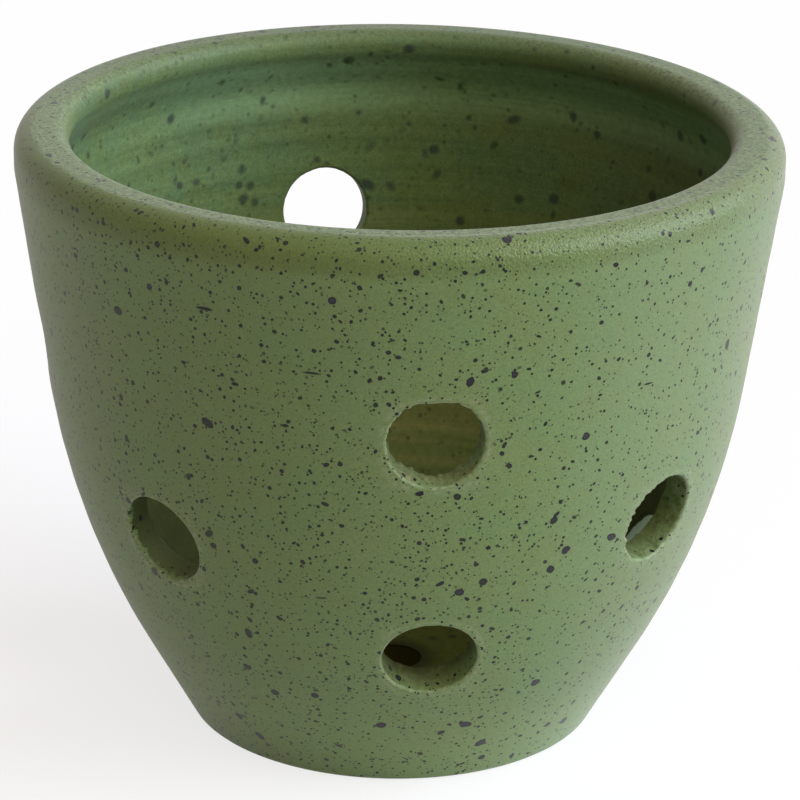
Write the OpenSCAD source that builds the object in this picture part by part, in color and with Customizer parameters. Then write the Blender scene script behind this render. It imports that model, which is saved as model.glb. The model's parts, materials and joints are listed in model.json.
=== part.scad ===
// Ceramic orchid pot: a thrown and glazed stoneware shell with air holes cut through
// its wall, a drain hole and a turned foot ring. Millimetres, +Z up, the origin at the
// centre of the foot on the ground, the front column of holes towards -Y.

/* [Pot] */
// Outer diameter of the lip
rim_d = 150; // [140:1:162]
// Height from the ground to the top of the lip
pot_h = 122; // [112:1:140]
// Diameter of the foot, where the glazed wall's line meets the ground
foot_d = 82; // [74:1:90]
// Diameter at which the lower and the upper wall's lines would meet
belly_d = 130; // [122:1:136]
// Height at which those two lines would meet
belly_h = 43; // [38:1:50]
// Radius of the curve between the lower and the upper wall
belly_round = 155; // [100:1:160]

/* [Wall and floor] */
// Thickness of the upper wall with its glaze
wall_t = 4.8; // [4:0.1:6.5]
// Thickness of the lower wall with its glaze
lower_wall_t = 6.8; // [5.5:0.1:8.5]
// Height of the floor's top above the ground
floor_top_h = 7.6; // [6.5:0.1:10]
// Radius of the curve between the floor and the inside of the wall
floor_round = 18; // [12:1:19]

/* [Lip] */
// Thickness of the rounded lip, measured across its top
lip_t = 10.6; // [9:0.1:12]
// Height of the lip's upright outer band
lip_h = 8; // [7:0.1:10]
// Radius of the lip's outer shoulder
lip_out_round = 4.6; // [3:0.1:5]
// Radius of the lip's inner shoulder
lip_in_round = 3; // [2:0.1:3.6]
// Height of the lip's upright inner side, with both its rounds
lip_in_h = 4.5; // [4:0.1:7]
// Radius of the lip's lower inner edge
lip_edge_round = 3; // [2:0.1:5]
// Height over which the lip's underside runs back to the wall
lip_under_h = 9; // [7:0.1:12]

/* [Foot] */
// Width of the foot ring that the pot stands on
foot_ring_w = 8; // [6:0.1:10]
// Depth of the turned recess inside the foot ring
foot_recess_h = 3; // [2:0.1:4]
// Radius of the foot ring's edges
foot_edge_round = 1; // [0.4:0.1:1.5]
// Height of the bare clay left below the outer glaze
bare_h = 0.6; // [0.5:0.1:4]

/* [Holes] */
// Diameter of each air hole in the wall
hole_d = 18.2; // [14:0.1:20]
// Number of columns of air holes, with two holes and one hole in turn
hole_columns = 8; // [6:2:8]
// Height of the upper row of air holes on the outside
upper_row_h = 82; // [78:0.5:88]
// Height of the middle row of air holes on the outside
middle_row_h = 55; // [52:0.5:60]
// Height of the lower row of air holes on the outside
lower_row_h = 33.5; // [31:0.5:37]
// Diameter of the drain hole in the floor
drain_d = 12; // [8:0.5:16]

/* [Glaze] */
// Thickness of the glaze coats
glaze_t = 0.4; // [0.3:0.05:0.8]
// Thickness of the thin glaze that lines the air holes
hole_glaze_t = 0.25; // [0.15:0.05:0.4]
// Height of the dry glaze band over the lip
rim_glaze_h = 3.5; // [2.5:0.1:6]

/* [Hidden] */

clay_color = [0.55, 0.49, 0.38];
outer_glaze_color = [0.47, 0.56, 0.38];
rim_glaze_color = [0.56, 0.6, 0.48];
inner_glaze_color = [0.33, 0.42, 0.25];
hole_glaze_color = [0.4, 0.44, 0.31];

// The holes were placed by hand. Column 0 is the front, and the count runs towards +X.
// A column's slip turns it, its rise lifts it by a share of the hole's diameter, and the lower
// hole of a column of two has a rise of its own on top of that.
column_slip_degrees = [0, -1.8, -1.3, 0, 7.9, 0, 0, -4];
column_rise_shares = [0, 0.1, 0, 0, 0, 0, 0, -0.1];
lower_hole_rise_shares = [0, 0, -0.41, 0, 0, 0, 0, 0];
upper_row_slip_degrees = -0.5;
lower_row_slip_degrees = 0.5;

// Largest gap between a curve and its chords, and how far cuts run past what they cut
chord_error = 0.03;
overrun = 2;
round_sides = 96;

foot_r = foot_d / 2;
belly_r = belly_d / 2;
rim_r = rim_d / 2;
drain_r = drain_d / 2;
bored_d = hole_d + 2 * hole_glaze_t;
ring_in_r = foot_r - foot_ring_w;
lip_in_r = rim_r - lip_t;
lip_band_round = lip_h;
lip_under_round = lip_under_h;

function unit(v) = v / norm(v);
function left_of(v) = [-v.y, v.x];
function cross_of(a, b) = a.x * b.y - a.y * b.x;

// Corner of two lines through b, from a and towards c, each shifted to its left
function shifted_corner(a, b, c, shift_in, shift_out) =
    let (u = unit(b - a), v = unit(c - b),
         p = b + shift_in * left_of(u), q = b + shift_out * left_of(v),
         reach = cross_of(q - p, v) / cross_of(u, v))
    p + reach * u;

// Radius of the line from a to b at height h
function radius_on(a, b, h) = a.x + (b.x - a.x) * (h - a.y) / (b.y - a.y);

// The corners of the glazed section, counter-clockwise from the outer edge of the foot.
// Each entry is a point, the radius of its round and the glaze on the side that follows.
foot_corner = [foot_r, 0];
belly_corner = [belly_r, belly_h];
band_corner = [rim_r, pot_h - lip_h];
inner_belly_corner = shifted_corner(foot_corner, belly_corner, band_corner, lower_wall_t, wall_t);
inner_band_corner = shifted_corner(belly_corner, band_corner, [rim_r, pot_h], wall_t, wall_t);
inner_foot_corner = shifted_corner([0, 0], foot_corner, belly_corner, 0, lower_wall_t);
inner_floor_corner = [radius_on(inner_foot_corner, inner_belly_corner, floor_top_h), floor_top_h];
under_h = pot_h - lip_in_h - lip_under_h;

// Leans of the lower and the upper wall, and the length that the belly's curve takes of each
lower_lean = atan2(belly_r - foot_r, belly_h);
upper_lean = atan2(rim_r - belly_r, pot_h - lip_h - belly_h);
function belly_cut(radius) = radius * tan((lower_lean - upper_lean) / 2);

// The floor's curve is limited by what the belly's curve leaves of the wall below it
low_wall_left = norm(inner_floor_corner - inner_belly_corner) - belly_cut(belly_round - wall_t);
floor_fillet = min(floor_round, low_wall_left / tan((90 - lower_lean) / 2));

CORNERS = [
    [foot_corner, foot_edge_round, glaze_t],
    [belly_corner, belly_round, glaze_t],
    [band_corner, lip_band_round, glaze_t],
    [[rim_r, pot_h], lip_out_round, glaze_t],
    [[lip_in_r, pot_h], lip_in_round, glaze_t],
    [[lip_in_r, pot_h - lip_in_h], lip_edge_round, glaze_t],
    [[radius_on(inner_belly_corner, inner_band_corner, under_h), under_h], lip_under_round, glaze_t],
    [inner_belly_corner, belly_round - wall_t, glaze_t],
    [inner_floor_corner, floor_fillet, glaze_t],
    [[drain_r, floor_top_h], 0, 0],
    [[drain_r, foot_recess_h], 0, 0],
    [[ring_in_r, foot_recess_h], foot_edge_round, 0],
    [[ring_in_r, 0], foot_edge_round, 0]
];

// The corner before and after each one
function before(i) = CORNERS[(i + len(CORNERS) - 1) % len(CORNERS)];
function after(i) = CORNERS[(i + 1) % len(CORNERS)];

// The same corners with the glaze taken off
CLAY_POINTS = [
    for (i = [0 : len(CORNERS) - 1])
        shifted_corner(before(i)[0], CORNERS[i][0], after(i)[0], before(i)[2], CORNERS[i][2])
];
function clay_round(i) =
    let (turn = cross_of(CORNERS[i][0] - before(i)[0], after(i)[0] - CORNERS[i][0]),
         glaze = min(before(i)[2], CORNERS[i][2]))
    CORNERS[i][1] == 0 ? 0 : CORNERS[i][1] - sign(turn) * glaze;

// Points of an arc that rounds the corner b between the lines from a and to c
function corner_arc(a, b, c, radius) =
    let (u = unit(b - a), v = unit(c - b),
         turn = asin(cross_of(u, v)),
         cut = radius * tan(abs(turn) / 2),
         start = b - cut * u,
         centre = start + sign(turn) * radius * left_of(u),
         steps = ceil(abs(turn) / (2 * acos(1 - chord_error / max(radius, 2 * chord_error)))))
    radius == 0 ? [b] : [
        for (k = [0 : steps])
            let (angle = turn * k / steps, arm = start - centre)
            centre + [arm.x * cos(angle) - arm.y * sin(angle), arm.x * sin(angle) + arm.y * cos(angle)]
    ];

function rounded(points, rounds) = [
    for (i = [0 : len(points) - 1])
        each corner_arc(points[(i + len(points) - 1) % len(points)], points[i],
                        points[(i + 1) % len(points)], rounds[i])
];

GLAZED_SECTION = rounded([for (corner = CORNERS) corner[0]], [for (corner = CORNERS) corner[1]]);
CLAY_SECTION = rounded(CLAY_POINTS, [for (i = [0 : len(CORNERS) - 1]) clay_round(i)]);

// Radius and lean of the outside at a height on the wall
bend_low_h = belly_h - belly_cut(belly_round) * cos(lower_lean);
bend_high_h = belly_h + belly_cut(belly_round) * cos(upper_lean);
function wall_lean(h) = lookup(h, [[bend_low_h, lower_lean], [bend_high_h, upper_lean]]);
BELLY_ARC = corner_arc(foot_corner, belly_corner, band_corner, belly_round);
OUTSIDE = [for (p = concat([foot_corner], BELLY_ARC, [band_corner])) [p.y, p.x]];
function outer_r(h) = lookup(h, OUTSIDE);

// Azimuth and height of every air hole
function column_azimuth(i) = -90 + 360 * i / hole_columns + column_slip_degrees[i];
function column_rise(i) = column_rise_shares[i] * hole_d;
function lower_hole_rise(i) = column_rise(i) + lower_hole_rise_shares[i] * hole_d;
HOLES = [
    for (i = [0 : hole_columns - 1])
        each i % 2 == 0
            ? [[column_azimuth(i) + upper_row_slip_degrees, upper_row_h + column_rise(i)],
               [column_azimuth(i) + lower_row_slip_degrees, lower_row_h + lower_hole_rise(i)]]
            : [[column_azimuth(i), middle_row_h + column_rise(i)]]
];

// Cutters for the air holes, each square to the outside of the wall
module air_hole_cutters(cutter_d) {
    reach = 2 * lower_wall_t;
    for (hole = HOLES)
        rotate([0, 0, hole[0]])
            translate([outer_r(hole[1]), 0, hole[1]])
                rotate([0, 90 + wall_lean(hole[1]), 0])
                    translate([0, 0, -reach])
                        cylinder(d = cutter_d, h = reach + overrun, $fn = round_sides);
}

// A turned solid from a section, with the air holes cut through it, as wide as their lining
module turned_and_pierced() {
    difference() {
        rotate_extrude($fn = round_sides) children();
        air_hole_cutters(bored_d);
    }
}

// Section of the whole glaze, as a skin between the glazed and the clay outline
module glaze_section() {
    difference() {
        polygon(GLAZED_SECTION);
        polygon(CLAY_SECTION);
    }
}

// Part of the plane between two radii and two heights
module zone(r_low, r_high, h_low, h_high) {
    translate([r_low, h_low]) square([r_high - r_low, h_high - h_low]);
}

// Fired clay shell: wall, rounded lip, floor with its drain hole, and turned foot ring
module clay_body() {
    color(clay_color) turned_and_pierced() polygon(CLAY_SECTION);
}

rim_line_h = pot_h - rim_glaze_h;
// The middle of the wall, which parts the outer glaze from the inner one
middle_foot = shifted_corner([0, 0], foot_corner, belly_corner, -bare_h, lower_wall_t / 2);
middle_belly = shifted_corner(foot_corner, belly_corner, band_corner, lower_wall_t / 2, wall_t / 2);
middle_band = shifted_corner(belly_corner, band_corner, [rim_r, pot_h], wall_t / 2, wall_t / 2);
MIDDLE_LINE = concat(
    [middle_foot],
    corner_arc(middle_foot, middle_belly, middle_band, belly_round - wall_t / 2),
    [middle_band, [rim_r - lip_t / 2, rim_line_h]]
);

// Speckled glaze on the outside, from the bare foot up to the dry band on the lip
module outer_glaze() {
    color(outer_glaze_color)
        turned_and_pierced()
            intersection() {
                glaze_section();
                polygon(concat([[rim_r + overrun, rim_line_h], [rim_r + overrun, bare_h]], MIDDLE_LINE));
            }
}

// Dry, greyer glaze over the rounded lip
module rim_glaze() {
    color(rim_glaze_color)
        rotate_extrude($fn = round_sides)
            intersection() {
                glaze_section();
                zone(lip_in_r - overrun, rim_r + overrun, rim_line_h, pot_h + overrun);
            }
}

// Glaze on the inside of the wall and on the floor, open at the drain hole
module inner_glaze() {
    color(inner_glaze_color)
        turned_and_pierced()
            intersection() {
                glaze_section();
                polygon(concat([[0, rim_line_h], [0, bare_h]], MIDDLE_LINE));
            }
}

// Thin glaze that ran into the air holes and lines them from face to face
module hole_glaze() {
    color(hole_glaze_color)
        difference() {
            intersection() {
                rotate_extrude($fn = round_sides) polygon(GLAZED_SECTION);
                air_hole_cutters(bored_d);
            }
            air_hole_cutters(hole_d);
        }
}

clay_body();
outer_glaze();
rim_glaze();
inner_glaze();
hole_glaze();
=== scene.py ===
# %% [markdown]
# # A speckled ceramic orchid pot
#
# A potter throws this pot, trims its foot and cuts round air holes through the wet wall with a
# tube. Then it is fired, coated in a matte green glaze and flicked with dark slip. The packed
# model holds the clay body and the coats of glaze at their true size. This script loads it as
# a fixed frame and dresses it: each coat becomes a modelled skin with the small unevenness of
# hand work, and each surface gets a finish built from nodes.

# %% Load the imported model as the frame
import json
import math

import bpy
import numpy as np
from mathutils import Matrix, Vector


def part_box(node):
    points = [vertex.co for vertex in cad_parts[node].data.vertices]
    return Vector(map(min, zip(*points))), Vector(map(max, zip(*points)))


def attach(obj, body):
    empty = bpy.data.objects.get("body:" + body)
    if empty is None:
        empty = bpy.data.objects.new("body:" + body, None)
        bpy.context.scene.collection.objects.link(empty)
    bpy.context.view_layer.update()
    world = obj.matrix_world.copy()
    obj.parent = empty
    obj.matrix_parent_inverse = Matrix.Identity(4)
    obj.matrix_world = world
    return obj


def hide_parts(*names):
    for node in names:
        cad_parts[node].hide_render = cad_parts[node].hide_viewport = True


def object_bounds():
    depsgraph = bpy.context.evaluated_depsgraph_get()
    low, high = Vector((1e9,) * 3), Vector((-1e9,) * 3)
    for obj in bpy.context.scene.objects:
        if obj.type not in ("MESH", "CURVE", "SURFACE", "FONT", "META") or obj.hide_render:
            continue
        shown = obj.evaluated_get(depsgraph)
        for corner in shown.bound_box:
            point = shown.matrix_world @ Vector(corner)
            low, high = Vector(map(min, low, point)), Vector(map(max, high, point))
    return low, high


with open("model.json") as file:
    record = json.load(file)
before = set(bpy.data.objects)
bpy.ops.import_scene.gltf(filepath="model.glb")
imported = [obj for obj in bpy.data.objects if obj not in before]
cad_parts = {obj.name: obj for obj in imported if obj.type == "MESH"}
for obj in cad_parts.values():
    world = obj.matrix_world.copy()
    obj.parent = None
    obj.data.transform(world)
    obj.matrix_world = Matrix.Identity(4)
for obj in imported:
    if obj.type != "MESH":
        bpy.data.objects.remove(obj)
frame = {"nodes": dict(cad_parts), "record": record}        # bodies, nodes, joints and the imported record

cad_low, cad_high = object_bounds()
print("CAD box in mm:", [round(1000 * v, 2) for v in (*cad_low, *cad_high)])

# %% [markdown]
# ## The section of the pot
#
# A turned thing is one outline carried round an axis. Here it is a list of corners, each with
# the radius that rounds it. What the frame knows is read from the frame, and the other sizes
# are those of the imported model.

# %% Sizes of the section
MM = 0.001
TURN = 2 * math.pi

pot_h = cad_high.z
rim_r = cad_high.x
bare_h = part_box("outer_glaze")[0].z
rim_line_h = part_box("rim_glaze")[0].z
floor_top_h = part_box("inner_glaze")[0].z + 0.4 * MM
drain_r = next(m for m in frame["record"]["mounts"] if m["name"] == "drain_hole")["dims"]["r_mm"] * MM

foot_r = 41 * MM
belly_r = 65 * MM
belly_h = 43 * MM
belly_round = 155 * MM
wall_t = 4.8 * MM
lower_wall_t = 6.8 * MM
floor_round = 18 * MM
lip_t = 10.6 * MM
lip_h = 8 * MM
lip_out_round = 4.6 * MM
lip_in_round = 3 * MM
lip_in_h = 4.5 * MM
lip_edge_round = 3 * MM
lip_under_h = 9 * MM
foot_edge_round = 1 * MM
glaze_t = 0.38 * MM
hole_glaze_t = 0.23 * MM
hole_r = 9.1 * MM
print("floor, rim line and bare foot in mm:", [round(h / MM, 2) for h in (floor_top_h, rim_line_h, bare_h)])


# %% The outline with its rounded corners
def unit(v):
    return v / np.linalg.norm(v)


def left_of(v):
    return np.array([-v[1], v[0]])


def cross_of(a, b):
    return a[0] * b[1] - a[1] * b[0]


def shifted_corner(a, b, c, shift_in, shift_out):
    """The corner of two lines through b, from a and towards c, each moved to its left."""
    u, v = unit(b - a), unit(c - b)
    p, q = b + shift_in * left_of(u), b + shift_out * left_of(v)
    return p + u * cross_of(q - p, v) / cross_of(u, v)


def line_at(a, b, height):
    """The point at a height on the line from a to b."""
    return a + (b - a) * (height - a[1]) / (b[1] - a[1])


def corner_arc(a, b, c, radius, chord=0.15 * MM):
    """The arc that rounds corner b: it starts radius * tan(turn / 2) before the corner, and its
    centre lies one radius square to the first line, on the side that the outline turns to."""
    u, v = unit(b - a), unit(c - b)
    turn = math.asin(max(-1, min(1, cross_of(u, v))))
    start = b - radius * math.tan(abs(turn) / 2) * u
    centre = start + math.copysign(radius, turn) * left_of(u)
    angle = np.linspace(0, turn, max(2, math.ceil(abs(turn) * radius / chord)))[:, None]
    arm = start - centre
    return centre + np.cos(angle) * arm + np.sin(angle) * left_of(arm)


def pot_outline():
    """The glazed outline as points of radius and height, from under the foot, up the outside,
    over the lip, down the inside and along the floor to the drain hole."""
    foot, belly = np.array([foot_r, 0]), np.array([belly_r, belly_h])
    band, rim = np.array([rim_r, pot_h - lip_h]), np.array([rim_r, pot_h])
    in_belly = shifted_corner(foot, belly, band, lower_wall_t, wall_t)
    in_band = shifted_corner(belly, band, rim, wall_t, wall_t)
    in_foot = shifted_corner(np.zeros(2), foot, belly, 0, lower_wall_t)
    lip_in_r = rim_r - lip_t
    corners = [
        (foot, foot_edge_round),
        (belly, belly_round),
        (band, lip_h),
        (rim, lip_out_round),
        (np.array([lip_in_r, pot_h]), lip_in_round),
        (np.array([lip_in_r, pot_h - lip_in_h]), lip_edge_round),
        (line_at(in_belly, in_band, pot_h - lip_in_h - lip_under_h), lip_under_h),
        (in_belly, belly_round - wall_t),
        (line_at(in_foot, in_belly, floor_top_h), floor_round),
    ]
    start, end = np.array([foot_r - lower_wall_t, 0]), np.array([drain_r, floor_top_h])
    points = [start] + [p for p, _ in corners] + [end]
    arcs = [corner_arc(*points[i:i + 3], corners[i][1]) for i in range(len(corners))]
    return np.vstack([start, *arcs, end])


outline = pot_outline()
outline_s = np.concatenate([[0], np.cumsum(np.linalg.norm(np.diff(outline, axis=0), axis=1))])
top_s = outline_s[np.argmax(outline[:, 1] - 1e-3 * abs(outline[:, 0] - (rim_r - lip_t / 2)))]
print("outline points:", len(outline), " length in mm:", round(outline_s[-1] / MM, 1))


# %% Reading the outline by length or by height
def outline_at(s):
    """Radius and height at a length along the outline."""
    return np.interp(s, outline_s, outline[:, 0]), np.interp(s, outline_s, outline[:, 1])


OUTSIDE, INSIDE = 0, 1
FINE_POINTS = 1500      # so that the straight stretches have points too
fine_s = np.union1d(outline_s, np.linspace(0, outline_s[-1], FINE_POINTS))
fine_r, fine_h = outline_at(fine_s)
wall_points = []
for side, lowest in ((OUTSIDE, 1.5 * MM), (INSIDE, floor_top_h + 0.1 * MM)):
    near = (fine_s < top_s) if side == OUTSIDE else (fine_s > top_s)
    on_wall = near & (fine_h < pot_h - lip_h) & (fine_h > lowest)
    order = np.argsort(fine_h[on_wall])
    wall_points.append([values[on_wall][order] for values in (fine_h, fine_r, fine_s)])


def smooth_radius(side, height):
    """Radius of one side of the wall, before the hand's waves."""
    return np.interp(height, wall_points[side][0], wall_points[side][1])


def wall_s(side, height):
    """Length along the outline at which one side of the wall has a height."""
    return np.interp(height, wall_points[side][0], wall_points[side][2])


def smooth_step(low, high, value):
    """0 below low, 1 above high, and an even S between them."""
    t = np.clip((value - low) / (high - low), 0, 1)
    return t * t * (3 - 2 * t)


# %% [markdown]
# ## What the hand leaves
#
# A thrown wall is never a perfect cone. The fingers leave a shallow spiral of ridges inside, a
# rib smooths most of them away outside, and the rim is a little out of round. All of it is a
# sum of slow waves, far smaller than a millimetre, and it goes inwards, so that no skin stands
# outside its place in the frame.

# %% Waves of the wall
def out_of_round(azimuth, height):
    """How far the wall leans in or out, in metres: slow waves of two, three and five lobes."""
    lobes = (0.5 * np.sin(2 * azimuth + 0.7) + 0.3 * np.sin(3 * azimuth + 2.1 + 9 * height)
             + 0.2 * np.sin(5 * azimuth + 4.0 - 14 * height))
    return 0.07 * MM * (lobes - 1) * smooth_step(4 * MM, 30 * MM, height)


def throwing_rings(azimuth, height, pitch, depth):
    """A spiral of finger ridges: a wave up the wall that climbs one pitch in each turn, with a
    slower wave that makes some ridges deeper than others."""
    climb = TURN * height / pitch + azimuth
    ridge = np.sin(climb + 0.5 * np.sin(2 * azimuth + 40 * height))
    return depth * ridge * (0.65 + 0.35 * np.sin(3 * azimuth + 75 * height))


def wall_wave(side, azimuth, height):
    """Radial shift of one side of the wall from the outline: a rib leaves less on the outside."""
    if side == OUTSIDE:
        rings = throwing_rings(azimuth, height, 9 * MM, 0.03 * MM) * smooth_step(5 * MM, 20 * MM, height)
    else:
        fade = smooth_step(13 * MM, 26 * MM, height) * (1 - smooth_step(100 * MM, 109 * MM, height))
        rings = throwing_rings(azimuth, height, 6.4 * MM, 0.11 * MM) * fade
    return out_of_round(azimuth, height) + rings


def rim_wave(azimuth, height):
    """Vertical shift of the lip: it is highest at the back left, and rises and falls a little."""
    tilt = 0.5 * (np.cos(azimuth - 0.75 * math.pi) - 1)
    wave = 0.1 * (np.sin(3 * azimuth + 0.4) - 1)
    return 0.2 * MM * (tilt + wave) * smooth_step(95 * MM, 120 * MM, height)


def floor_wave(azimuth, radius, height):
    """Vertical shift of the inner floor: a finger spiral that fades towards the drain hole."""
    on_floor = 1 - smooth_step(floor_top_h + 0.2 * MM, floor_top_h + 5 * MM, height)
    spiral = np.sin(TURN * radius / (7 * MM) - azimuth)
    return 0.12 * MM * spiral * on_floor * smooth_step(9 * MM, 14 * MM, radius)


def glaze_edge_wave(azimuth):
    """How far the lower edge of the glaze strays from its line: short waves, as wiped by hand."""
    counts = np.array([7, 13, 22, 37, 58, 83])[:, None]
    return 0.2 * MM * (np.sin(counts * azimuth + 1.7 * counts) / counts ** 0.35).sum(0)


# %% [markdown]
# ## One grid round the whole pot
#
# The surface runs by the azimuth and by the length along the outline. Rows lie closer where
# the outline curves tightly, and fall exactly on the lines where one glaze ends and the next
# begins, so that neighbouring skins share their edge.

# %% Rows and columns
COLUMNS = 240
azimuths = TURN * np.arange(COLUMNS) / COLUMNS

outer_part, inner_part = outline_s < top_s, outline_s > top_s
outer_line_s = np.interp(rim_line_h, outline[outer_part, 1], outline_s[outer_part])
inner_line_s = np.interp(-rim_line_h, -outline[inner_part, 1], outline_s[inner_part])
bare_s = np.interp(bare_h, outline[outer_part, 1], outline_s[outer_part])
ends_and_steps = [
    (bare_s, 0.5), (wall_s(OUTSIDE, 3 * MM), 1.35), (wall_s(OUTSIDE, 108 * MM), 0.8), (outer_line_s, 0.5),
    (inner_line_s, 0.7), (wall_s(INSIDE, 106 * MM), 1.4), (wall_s(INSIDE, 12 * MM), 1.6), (outline_s[-1], 0)]
row_s = np.concatenate([
    np.linspace(a, b, math.ceil((b - a) / (step * MM)) + 1)[:-1]
    for (a, step), (b, _) in zip(ends_and_steps, ends_and_steps[1:])] + [outline_s[-1:]])
outer_line_row, inner_line_row, top_row = (
    int(np.argmin(abs(row_s - s))) for s in (outer_line_s, inner_line_s, top_s))
print("rows:", len(row_s), " glaze lines at rows", outer_line_row, inner_line_row)

# %% The grid's points
WAVY_ROWS = 4
grid_s = np.repeat(row_s[:, None], COLUMNS, axis=1)
grid_s[:WAVY_ROWS] += glaze_edge_wave(azimuths) * np.linspace(1, 0, WAVY_ROWS)[:, None]
grid_r, grid_z = outline_at(grid_s)
is_outside = (np.arange(len(row_s)) < top_row)[:, None]
outer_wave, inner_wave = (wall_wave(side, azimuths, grid_z) for side in (OUTSIDE, INSIDE))
grid_r = grid_r + np.where(is_outside, outer_wave, inner_wave)
grid_z = grid_z + rim_wave(azimuths, grid_z) + np.where(is_outside, 0, floor_wave(azimuths, grid_r, grid_z))
grid_points = np.stack([grid_r * np.cos(azimuths), grid_r * np.sin(azimuths), grid_z], axis=-1)


def surface_normals(points):
    """Unit normals of a grid that closes round its second axis: the cross product of the steps
    round and along it, each taken between the two neighbours of a point."""
    around = np.roll(points, -1, axis=1) - np.roll(points, 1, axis=1)
    along = np.gradient(points, axis=0, edge_order=2)
    normals = np.cross(around, along)
    return normals / np.linalg.norm(normals, axis=-1, keepdims=True)


grid_ids = np.arange(grid_points.shape[0] * COLUMNS).reshape(-1, COLUMNS)
print("grid points:", grid_ids.size)

# %% [markdown]
# ## The air holes
#
# Twelve holes are cut square to the wall, in eight columns: two holes and one hole in turn.
# Each becomes a sleeve of rings that starts as a patch of the outer wall, rounds over the edge,
# runs through the wall as a tube and rounds over into the inner wall. A wet-cut edge is ragged,
# most of all inside, where the cutter drags clay with it, so the radius and the rounding of
# each hole wander with the angle by seeded waves.

# %% Where the holes are, and how rough each one is
hole_columns = 8
column_slip = np.radians([0, -1.8, -1.3, 0, 7.9, 0, 0, -4])
column_rise = 2 * hole_r * np.array([0, 0.1, 0, 0, 0, 0, 0, -0.1])
lower_hole_rise = 2 * hole_r * np.array([0, 0, -0.41, 0, 0, 0, 0, 0])
row_slip = math.radians(0.5)
upper_row_h, middle_row_h, lower_row_h = 82 * MM, 55 * MM, 33.5 * MM

holes = []
for i in range(hole_columns):
    azimuth = -TURN / 4 + TURN * i / hole_columns + column_slip[i]
    if i % 2 == 0:
        holes.append((azimuth - row_slip, upper_row_h + column_rise[i]))
        holes.append((azimuth + row_slip, lower_row_h + column_rise[i] + lower_hole_rise[i]))
    else:
        holes.append((azimuth, middle_row_h + column_rise[i]))
raggedness = [1.0, 0.35, 1.6, 0.8, 0.5, 0.6, 0.15, 0.7, 0.9, 0.6, 0.8, 0.3]
ragged_side = np.radians([110, 60, 175, 250, 20, 140, 300, 80, 200, 330, 120, 240])
top_flat = MM * np.array([0.75, 0.1, 0, 0.4, 0.2, 0.5, 0, 0.3, 0.6, 0.2, 0.4, 0.1])
burr_size = MM * np.array([0.9, 0.25, 0.12, 0.5, 0.3, 0.4, 0.1, 0.5, 0.6, 0.4, 0.5, 0.1])
print("air holes:", len(holes))


# %% The frame of one hole and the depth of the wall along it
def hole_frame(azimuth, height):
    """The hole's centre on the outside, and its three axes: round the pot, up the wall and out
    of the wall, square to the smooth outline."""
    low, high = smooth_radius(OUTSIDE, [height - MM, height + MM])
    lean = math.atan2(high - low, 2 * MM)
    outward = np.array([math.cos(azimuth), math.sin(azimuth), 0])
    up = np.array([0, 0, 1])
    centre = outward * smooth_radius(OUTSIDE, height) + height * up
    across = np.array([-math.sin(azimuth), math.cos(azimuth), 0])
    along_wall = math.sin(lean) * outward + math.cos(lean) * up
    out = math.cos(lean) * outward - math.sin(lean) * up
    return centre, across, along_wall, out


def in_frame(centre, axes, across, up, depth):
    """The points at these distances across, up the wall and into it from a hole's centre."""
    return centre + across[..., None] * axes[0] + up[..., None] * axes[1] - depth[..., None] * axes[2]


def depth_to_wall(side, centre, axes, across, up):
    """How deep below the hole's centre plane each point (across, up) meets one side of the wall:
    the depth is improved step by step by the gap that is left to the wall's radius."""
    steps, share_of_gap = 14, 0.9
    depth = np.full(np.shape(across), 0.0 if side == OUTSIDE else lower_wall_t)
    for _ in range(steps):
        x, y, height = np.moveaxis(in_frame(centre, axes, across, up, depth), -1, 0)
        wall_r = smooth_radius(side, height) + wall_wave(side, np.arctan2(y, x), height)
        depth = depth + share_of_gap * (np.hypot(x, y) - wall_r)
    return depth


# %% Ragged edges and the rings of one hole
RING_POINTS = 160
EDGE_RINGS = 6
TUBE_RINGS = 9
PATCH_SHARES = [1.0, 0.62, 0.3, 0.12]
# How pale the patch rings near each air hole's outer edge are: partly chipped glaze and partly painted
# highlight.
PATCH_PALE = [0, 0, 0.3, 0.75]
PATCH_REACH = 12.6 * MM
PATCH_FILL = 0.9        # how much of the way to the border the patch goes
MOUTH_RINGS = len(PATCH_SHARES) + EDGE_RINGS
ring_angles = TURN * np.arange(RING_POINTS) / RING_POINTS


def seeded_waves(seed, low, high, fade):
    """A closed wandering line round a hole, about -1 to 1: one sine for each whole count of
    waves from low to high, with seeded phases, weaker for higher counts by the power fade."""
    random = np.random.default_rng(seed)
    counts = np.arange(low, high + 1)[:, None]
    heights = random.normal(1, 0.4, counts.shape) / counts ** fade
    waves = (heights * np.sin(counts * ring_angles + random.uniform(0, TURN, counts.shape))).sum(0)
    return waves / np.abs(waves).max()


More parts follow.
